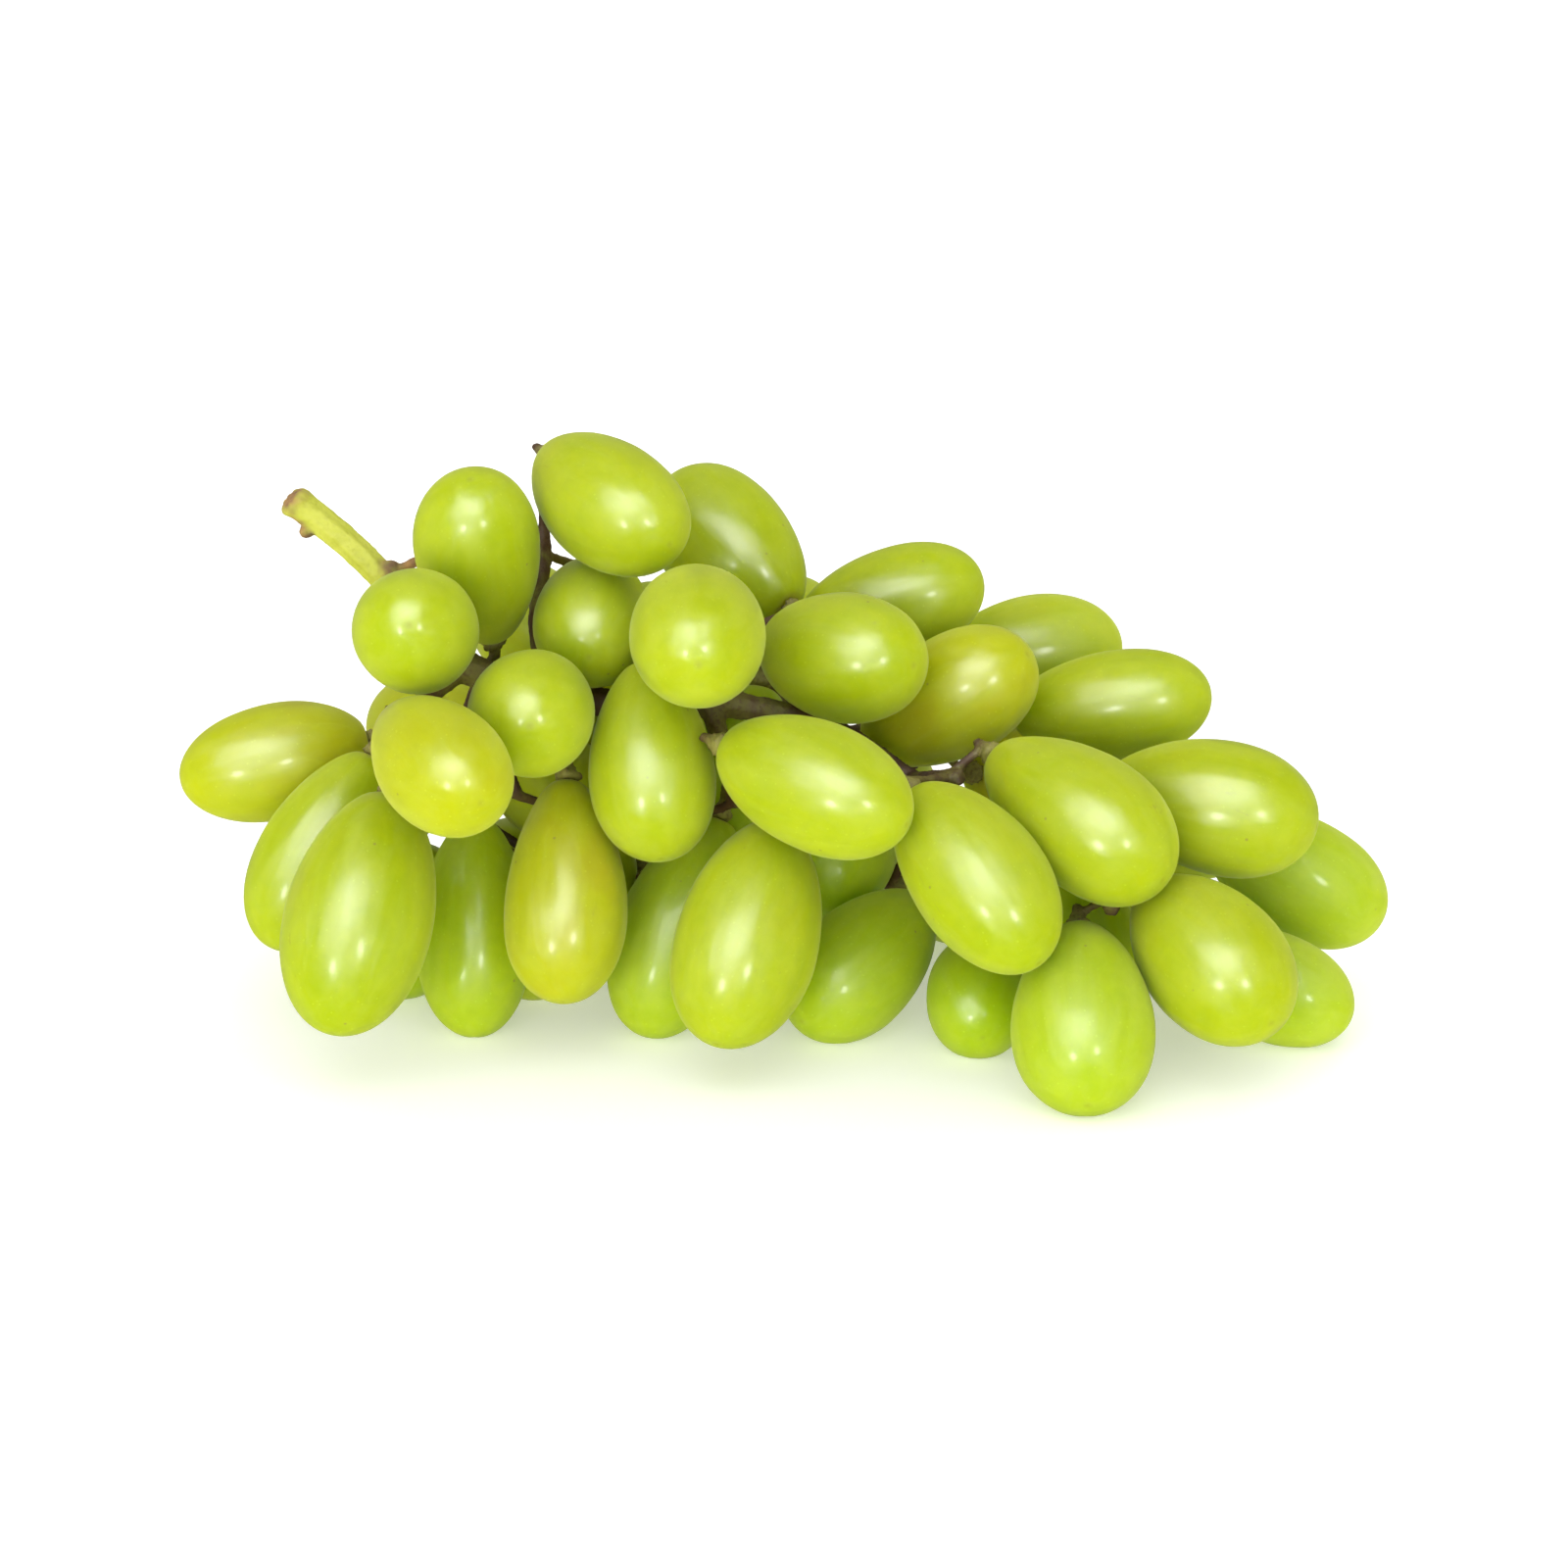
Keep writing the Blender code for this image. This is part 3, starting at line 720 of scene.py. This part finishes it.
def latheAt(bm, place, axis, profile, sides, lobes=0.0, lobeTurn=0.0):
    # a closed turned piece: pairs of distance along the axis and radius
    turn = axis.to_track_quat("Z", "Y").to_matrix()
    rows = []
    for along, radius in profile:
        row = []
        for side in range(sides):
            spin = 2 * math.pi * side / sides
            reach = radius * (1 + lobes * math.sin(3 * spin + lobeTurn))
            ray = Vector((math.cos(spin) * reach, math.sin(spin) * reach, along)) * mm
            row.append(bm.verts.new(place + turn @ ray))
        rows.append(row)
    for low, high in zip(rows, rows[1:]):
        for side in range(sides):
            after = (side + 1) % sides
            bm.faces.new((low[side], low[after], high[after], high[side]))
    bm.faces.new(rows[0][::-1])
    bm.faces.new(rows[-1])


def peduncleLine():
    # the middle of the cut stem, slice by slice from its free end
    points = np.array([v.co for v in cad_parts["stem"].data.vertices])
    low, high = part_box("stem")
    atLeft = points[:, 0] < low[0] + peduncle["tip"][0] * mm
    atTop = points[:, 2] > high[2] - peduncle["tip"][1] * mm
    tip = points[atLeft & atTop]
    lean = np.array(peduncle["lean"]) / np.linalg.norm(peduncle["lean"])
    start = (tip @ lean).min()
    line = []
    for step in range(int(peduncle["length"] / peduncle["slice"])):
        level = start + (step + 0.5) * peduncle["slice"] * mm
        near = np.abs(points @ lean - level) < peduncle["sliceHalf"] * mm
        if line:
            near &= np.linalg.norm(points - line[-1], axis=1) < peduncle["widest"] * mm
        else:
            near &= atTop
        if near.sum() > 3:
            line.append(points[near].mean(axis=0))
    line = np.array(line)
    for step in range(peduncle["evening"]):
        line[1:-1] = (line[:-2] + 2 * line[1:-1] + line[2:]) / 4
    return [Vector(point) for point in line]


def alongLine(line, distance):
    # place and direction at a distance in mm from the first point
    left = distance * mm
    for first, second in zip(line, line[1:]):
        step = second - first
        if left <= step.length:
            return first + step * (left / step.length), step.normalized()
        left -= step.length
    return line[-1], (line[-1] - line[-2]).normalized()


def ballProfile(size, squash):
    steps = 8
    angles = [math.pi * (step + 0.5) / steps for step in range(steps)]
    return [(-size * squash * math.cos(angle), size * math.sin(angle)) for angle in angles]


def stubProfile():
    # tapers away from the knuckle and ends in a small knob
    stub = []
    for step in range(peduncle["stubRings"]):
        share = step / (peduncle["stubRings"] - 1)
        knob = 0.35 * hump(share - 0.85, 0.12)
        stub.append((share * peduncle["stubLength"], peduncle["stubRadius"] * (1.6 - 0.7 * share + knob)))
    return stub


def addPeduncleMarks(bm, line):
    # returns the brown places: centre and reach
    axis = (line[1] - line[0]).normalized()
    cut = line[0] - axis * 0.5 * mm
    latheAt(bm, cut, axis, peduncle["cutEnd"], 18, 0.04)
    under = Vector((-0.5, -0.1, -0.8)).normalized()
    brown = [(cut, 2.7 * mm), (cut + (axis * 2.2 + under * 1.6) * mm, 2.3 * mm)]

    place, axis = alongLine(line, peduncle["bumpAt"])
    under = axis.cross(Vector((0, 1, 0))).normalized()
    under = under if under.z < 0 else -under
    bump = place + under * 2.0 * mm + Vector((0, -0.6, 0)) * mm
    latheAt(bm, bump, under, ballProfile(peduncle["bumpSize"], 1.1), 12, 0.12)
    brown.append((bump + under * 0.4 * mm, 2.1 * mm))

    place, axis = alongLine(line, peduncle["knuckleAt"])
    side = Vector(peduncle["knuckleSide"]).normalized()
    knuckle = place + side * 1.5 * mm
    latheAt(bm, knuckle, side, ballProfile(peduncle["knuckleSize"], 1.1), 16, 0.08)
    brown.append((knuckle + side * 0.6 * mm, 2.5 * mm))
    latheAt(bm, knuckle, side, stubProfile(), 12, 0.1)
    brown.append((knuckle + side * 3.2 * mm, 3.4 * mm))

    scarSide = Vector(peduncle["scarSide"]).normalized()
    scar = knuckle + scarSide * 1.2 * mm
    latheAt(bm, scar, scarSide, ballProfile(peduncle["scarSize"], 0.9), 10, 0.1)
    brown.append((scar, 1.9 * mm))
    return brown


def berryFeet():
    return [berry["centre"] - berry["axis"] * berry["halfLength"] for berry in berries.values()]


def roughStem(line):
    # the frame's stem, a swollen end at every berry and the marks on the peduncle
    bm = bmesh.new()
    bm.from_mesh(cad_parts["stem"].data)
    bmesh.ops.remove_doubles(bm, verts=bm.verts, dist=1e-6)
    bm.normal_update()
    for vert in bm.verts:
        vert.co += vert.normal * stemShape["plump"]
    for index, (foot, berry) in enumerate(zip(berryFeet(), berries.values())):
        profile = stemShape["collar"][::-1]
        latheAt(bm, foot, -berry["axis"], profile, stemShape["collarSides"], stemShape["collarLobes"], index)
    brown = addPeduncleMarks(bm, line)
    bmesh.ops.recalc_face_normals(bm, faces=bm.faces)
    mesh = bpy.data.meshes.new("stemRough")
    bm.to_mesh(mesh)
    bm.free()
    return mesh, brown


def mergedStem(rough):
    block = bpy.data.objects.new("stemRough", rough)
    bpy.context.scene.collection.objects.link(block)
    merge = block.modifiers.new("merge", "REMESH")
    merge.mode = "VOXEL"
    merge.voxel_size = stemShape["voxel"]
    bm = bmesh.new()
    bm.from_object(block, bpy.context.evaluated_depsgraph_get())
    bpy.data.objects.remove(block)
    everyWay = {"use_axis_x": True, "use_axis_y": True, "use_axis_z": True}
    for step in range(stemShape["smoothing"]):
        bmesh.ops.smooth_vert(bm, verts=bm.verts, factor=0.5, **everyWay)
    bm.normal_update()
    return bm


def ridgeHeight(ray, line, index, knot):
    # lengthwise ridges round the peduncle
    after = line[min(index + 1, len(line) - 1)]
    before = line[max(index - 1, 0)]
    axis = (after - before).normalized()
    ray = ray - axis * ray.dot(axis)
    flat = Vector((0, 1, 0)).cross(axis).normalized()
    spin = math.atan2(ray.y, ray.dot(flat))
    return peduncle["ridges"] * math.cos(peduncle["ridgeCount"] * spin + knot)


def corkAt(spot, brown):
    corky = 0.0
    for centre, reach in brown:
        share = (spot - centre).length / reach + 0.25 * noise.noise(spot / mm * 1.1)
        corky = max(corky, min(1.0, 1.6 * (1.0 - share)))
    return corky


def addStem():
    line = peduncleLine()
    rough, brown = roughStem(line)
    bm = mergedStem(rough)
    feet, trunk = treeOf(berryFeet()), treeOf(line)
    marks = []
    for vert in bm.verts:
        spot = vert.co.copy()
        place = spot / mm
        foot = feet.find(spot)[2] / mm
        collar = clamped((stemShape["collarFrom"] - foot) / stemShape["collarFade"])
        nearest, index, gap = trunk.find(spot)
        onPeduncle = clamped((peduncle["reach"] - gap / mm) / peduncle["reachFade"])
        knot = noise.noise(place * stemShape["wartScale"])
        wart = max(0.0, knot - stemShape["wartFrom"]) * stemShape["wart"]
        lump = noise.noise(place * 0.55) * 0.12 + noise.noise(place * 1.3 + Vector((9, 3, 7))) * 0.05
        out = wart * (0.25 + collar) * (1 - 0.8 * onPeduncle) + lump
        if onPeduncle > 0:
            out += onPeduncle * ridgeHeight(spot - nearest, line, index, knot)
        vert.co += vert.normal * out * mm
        vert.co.z = max(vert.co.z, 0.0)
        marks.append((collar, onPeduncle, corkAt(spot, brown), clamped(wart * 4)))
    mesh = bpy.data.meshes.new("grapeStem")
    bm.to_mesh(mesh)
    bm.free()
    for column, label in enumerate(("collarMark", "peduncleMark", "corkMark", "wartMark")):
        addMark(mesh, label, [mark[column] for mark in marks])
    mesh.shade_smooth()
    stem = bpy.data.objects.new("grapeStem", mesh)
    bpy.context.scene.collection.objects.link(stem)
    return stem


bark = {
    "green": (0.47, 0.49, 0.035),       # the peduncle
    "greenPale": (0.56, 0.57, 0.07),
    "shadedOlive": (0.17, 0.15, 0.02),        # the stems inside the bunch: partly their own browning, partly painted shade inside the bunch
    # dark woody brown: the own colour of warts and dots, and also painted shade on the stems inside the
    # bunch
    "woodyAndShade": (0.085, 0.04, 0.014),
    "collar": (0.42, 0.40, 0.09),
    "cork": (0.40, 0.22, 0.07),
    "corkDark": (0.11, 0.06, 0.04),
    "roughness": 0.6,
    "roughDrift": 0.15,
    "corkRough": 0.25,
    "gloss": 0.25,
    "depth": 0.15,             # light carried under the bark
    "depthRadius": (1.0, 0.8, 0.3),
    "depthScale": 1 * mm,
}


def makeBark():
    material = bpy.data.materials.new("stemBark")
    material.use_nodes = True
    desk = NodeDesk(material.node_tree)
    shader = material.node_tree.nodes["Principled BSDF"]
    place = desk.add("TexCoord").outputs["Object"]
    marks = {}
    for label in ("collarMark", "peduncleMark", "corkMark", "wartMark"):
        marks[label] = desk.add("Attribute", {"attribute_name": label}).outputs["Fac"]
    colours = ("green", "greenPale", "shadedOlive", "woodyAndShade", "collar", "cork", "corkDark")
    paint = {key: (*bark[key], 1) for key in colours}

    drift = useGroup(desk, "toneDrift", Place=place, Scale=300.0, Contrast=0.9)["Drift"]
    slow = useGroup(desk, "toneDrift", Place=place, Scale=110.0, Contrast=0.7)["Drift"]
    # the stems inside the bunch are painted dark olive and brown: partly their own browning, partly painted
    # shade where the berries shade them
    innerShaded = desk.blend(desk.smooth(slow, 0.15, 0.75), paint["woodyAndShade"], paint["shadedOlive"])
    innerShaded = desk.blend(desk.math("MULTIPLY", drift, 0.35), innerShaded, paint["woodyAndShade"])
    outer = desk.blend(drift, paint["green"], paint["greenPale"])
    colour = desk.blend(marks["peduncleMark"], innerShaded, outer)
    colour = desk.blend(desk.math("MULTIPLY", marks["collarMark"], 0.6), colour, paint["collar"])
    wartShare = desk.math("MULTIPLY_ADD", marks["peduncleMark"], -0.55, 0.65)
    wart = desk.math("MULTIPLY", marks["wartMark"], wartShare)
    colour = desk.blend(wart, colour, paint["woodyAndShade"])
    cork = desk.blend(drift, paint["cork"], paint["corkDark"])
    colour = desk.blend(marks["corkMark"], colour, cork)
    dots = useGroup(desk, "pores", Place=place, Scale=1500.0, Size=0.3, Share=0.35)["Mask"]
    inside = desk.math("MULTIPLY_ADD", marks["peduncleMark"], -0.4, 0.4)
    colour = desk.blend(desk.math("MULTIPLY", dots, inside), colour, paint["woodyAndShade"])

    fibre = desk.add("Mapping", {"vector_type": "POINT"}, Vector=place, Scale=(1.0, 1.6, 1.0))
    grain = desk.noise(fibre.outputs[0], 1500.0, 4.0, 0.65)
    height = desk.math("MULTIPLY_ADD", dots, -0.4, grain)
    bump = desk.add("Bump", None, Strength=0.45, Distance=0.0003, Height=height)
    rough = desk.math("MULTIPLY_ADD", drift, bark["roughDrift"], bark["roughness"])
    rough = desk.math("MULTIPLY_ADD", marks["corkMark"], bark["corkRough"], rough)
    desk.feed(shader, "Base Color", colour)
    desk.feed(shader, "Normal", bump.outputs[0])
    desk.feed(shader, "Roughness", rough)
    shader.inputs["Specular IOR Level"].default_value = bark["gloss"]
    shader.inputs["Subsurface Weight"].default_value = bark["depth"]
    shader.inputs["Subsurface Radius"].default_value = bark["depthRadius"]
    shader.inputs["Subsurface Scale"].default_value = bark["depthScale"]
    return material


stem = addStem()
stem.data.materials.append(makeBark())
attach(stem, "root")
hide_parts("stem")
print("stem:", len(stem.data.polygons), "faces")
